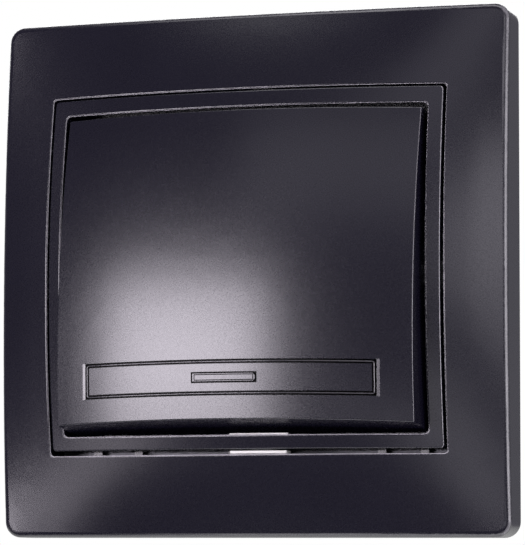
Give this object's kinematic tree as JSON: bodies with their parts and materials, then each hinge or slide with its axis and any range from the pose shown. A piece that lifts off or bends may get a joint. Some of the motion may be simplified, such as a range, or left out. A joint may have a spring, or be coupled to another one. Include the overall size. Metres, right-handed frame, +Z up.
{
  "type": "light switch",
  "caption": "Flush single-pole wall switch with one large domed rocker in a square domed frame, on a steel plate with claws and a moulded contact block.",
  "frame": {"origin": "middle of the box screw pattern, in the plane of the wall", "axes": "+X to the right seen from the room, +Y into the wall, +Z up"},
  "size_m": [0.08, 0.0399, 0.0794],
  "materials": {
    "black_plastic": "satin graphite black with a fine grain",
    "white_plastic": "off-white moulded plastic",
    "grey_plastic": "pale grey moulded plastic",
    "zinc_steel": "zinc plated sheet steel",
    "spring_steel": "drawn spring wire",
    "copper_alloy": "pressed copper strip",
    "brass": "turned and pressed brass",
    "silver": "silver contact metal"
  },
  "bodies": {
    "housing": {"outer_frame": "black_plastic", "insert_frame": "black_plastic", "mounting_plate": "zinc_steel", "mechanism_cover": "white_plastic", "mechanism_base": "white_plastic", "cover_screws": "zinc_steel", "common_strip": "copper_alloy", "fixed_contact_strip": "copper_alloy", "fixed_contact_button": "silver"},
    "rocker": {"rocker_cap": "black_plastic", "rocker_strip": "black_plastic", "strip_bar": "black_plastic", "rocker_cradle": "white_plastic", "plunger_spring": "spring_steel"},
    "plunger_pin": {"plunger": "grey_plastic"},
    "contact_blade": {"moving_contact": "copper_alloy", "moving_contact_button": "silver"},
    "left_claw_screw_body": {"left_claw_screw": "zinc_steel"},
    "left_claw_nut_body": {"left_claw_nut": "zinc_steel"},
    "left_claw_body": {"left_claw": "zinc_steel"},
    "right_claw_screw_body": {"right_claw_screw": "zinc_steel"},
    "right_claw_nut_body": {"right_claw_nut": "zinc_steel"},
    "right_claw_body": {"right_claw": "zinc_steel"},
    "line_terminal_cage_body": {"line_terminal_cage": "brass"},
    "line_terminal_screw_body": {"line_terminal_screw": "zinc_steel"},
    "load_terminal_cage_body": {"load_terminal_cage": "brass"},
    "load_terminal_screw_body": {"load_terminal_screw": "zinc_steel"}
  },
  "joints": [
    {"name": "rocker_tilt", "type": "hinge", "parent": "housing", "child": "rocker", "pos_m": [0, -0.008, 0], "axis": [1, 0, 0], "range_deg": [0, 10.8]},
    {"name": "plunger_slide", "type": "slide", "parent": "rocker", "child": "plunger_pin", "axis": [0, -0.9956, 0.0941], "range_m": [0, 0.0008], "stiffness_N_per_m": 800, "springref_m": -0.0012, "deforming": ["plunger_spring"]},
    {"name": "contact_see_saw", "type": "hinge", "parent": "housing", "child": "contact_blade", "pos_m": [0, 0.0066, 0], "axis": [1, 0, 0], "range_deg": [-14, 0]},
    {"name": "left_claw_screw_turn", "type": "hinge", "parent": "housing", "child": "left_claw_screw_body", "pos_m": [-0.0222, 0, 0], "axis": [0, 1, 0], "range_deg": [0, 3960]},
    {"name": "left_claw_nut_slide", "type": "slide", "parent": "housing", "child": "left_claw_nut_body", "axis": [0, -1, 0], "range_m": [0, 0.0066]},
    {"name": "left_claw_swing", "type": "hinge", "parent": "housing", "child": "left_claw_body", "pos_m": [-0.0213, 0.002, 0], "axis": [0, 0, 1], "range_deg": [0, 18.6]},
    {"name": "right_claw_screw_turn", "type": "hinge", "parent": "housing", "child": "right_claw_screw_body", "pos_m": [0.0222, 0, 0], "axis": [0, 1, 0], "range_deg": [0, 3960]},
    {"name": "right_claw_nut_slide", "type": "slide", "parent": "housing", "child": "right_claw_nut_body", "axis": [0, -1, 0], "range_m": [0, 0.0066]},
    {"name": "right_claw_swing", "type": "hinge", "parent": "housing", "child": "right_claw_body", "pos_m": [0.0213, 0.002, 0], "axis": [0, 0, -1], "range_deg": [0, 18.6]},
    {"name": "line_cage_slide", "type": "slide", "parent": "housing", "child": "line_terminal_cage_body", "axis": [0, 1, 0], "range_m": [0, 0.0024]},
    {"name": "line_screw_turn", "type": "hinge", "parent": "housing", "child": "line_terminal_screw_body", "pos_m": [-0.0115, 0.0164, -0.0148], "axis": [0, -1, 0], "range_deg": [0, 1728]},
    {"name": "load_cage_slide", "type": "slide", "parent": "housing", "child": "load_terminal_cage_body", "axis": [0, 1, 0], "range_m": [0, 0.0024]},
    {"name": "load_screw_turn", "type": "hinge", "parent": "housing", "child": "load_terminal_screw_body", "pos_m": [0.0115, 0.0164, 0.0148], "axis": [0, -1, 0], "range_deg": [0, 1728]}
  ],
  "couplings": [
    {"joint": "contact_see_saw", "follows": "rocker_tilt", "ratio": -1.2962},
    {"joint": "left_claw_screw_turn", "follows": "left_claw_nut_slide", "rad_per_m": 10471},
    {"joint": "left_claw_swing", "follows": "left_claw_nut_slide", "rad_per_m": 49.18},
    {"joint": "right_claw_screw_turn", "follows": "right_claw_nut_slide", "rad_per_m": 10471},
    {"joint": "right_claw_swing", "follows": "right_claw_nut_slide", "rad_per_m": 49.18},
    {"joint": "line_screw_turn", "follows": "line_cage_slide", "rad_per_m": 12566},
    {"joint": "load_screw_turn", "follows": "load_cage_slide", "rad_per_m": 12566}
  ]
}
